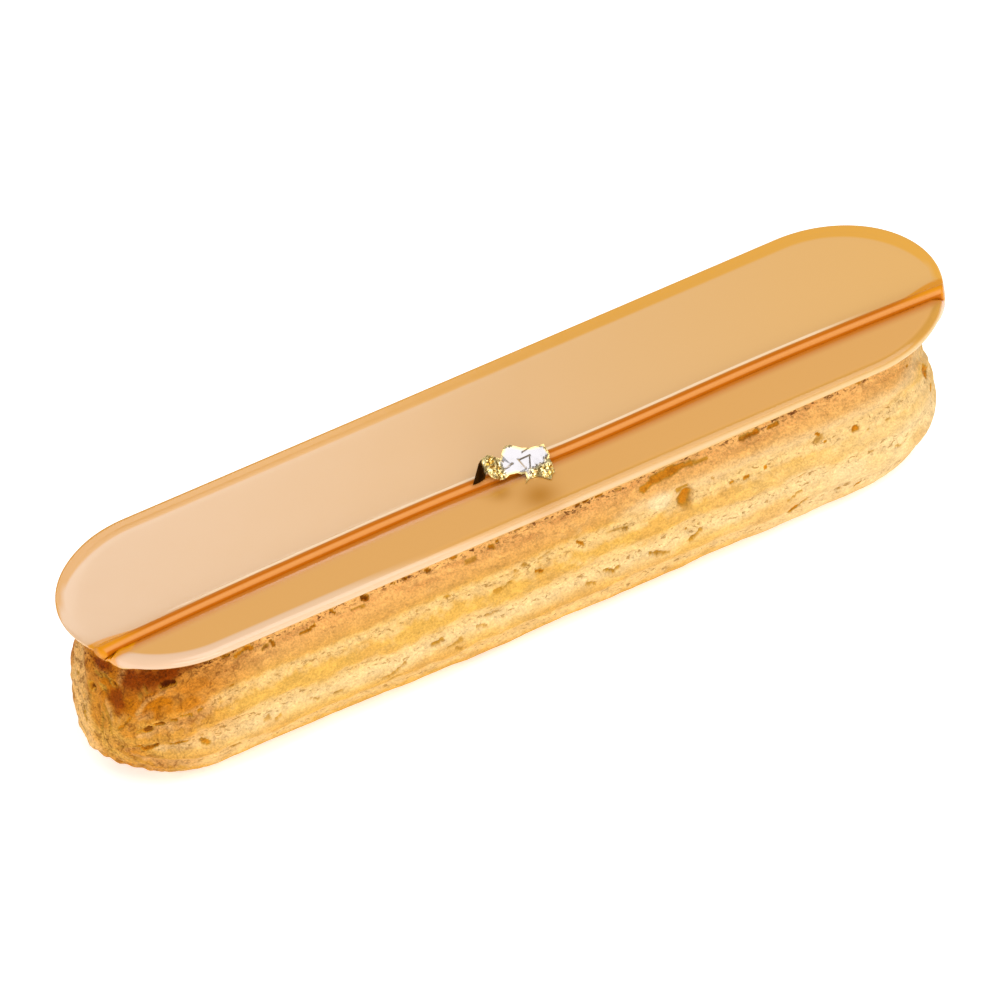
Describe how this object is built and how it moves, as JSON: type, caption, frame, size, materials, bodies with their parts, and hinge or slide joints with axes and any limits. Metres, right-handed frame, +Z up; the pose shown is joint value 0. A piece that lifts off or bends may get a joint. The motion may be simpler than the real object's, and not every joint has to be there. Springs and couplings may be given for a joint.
{
  "type": "caramel glazed eclair",
  "caption": "Long choux pastry with piped ridges, a flat glossy caramel glaze, a caramel strand along the glaze and a flake of gold leaf; a food item to serve or display.",
  "frame": {"origin": "middle of the bounding box, on the surface that the eclair rests on", "axes": "+X along the eclair, -Y to the front that the picture shows, +Z up"},
  "size_m": [0.1407, 0.0346, 0.0296],
  "materials": {
    "choux": "matt baked crust, golden on the ridges and paler between them",
    "glaze": "smooth glossy caramel glaze",
    "caramel": "glossy clear brown caramel",
    "gold_leaf": "crumpled bright gold leaf"
  },
  "bodies": {
    "root": {"choux_shell": "choux", "glaze_plaque": "glaze", "caramel_strand": "caramel", "gold_leaf": "gold_leaf"}
  },
  "joints": []
}
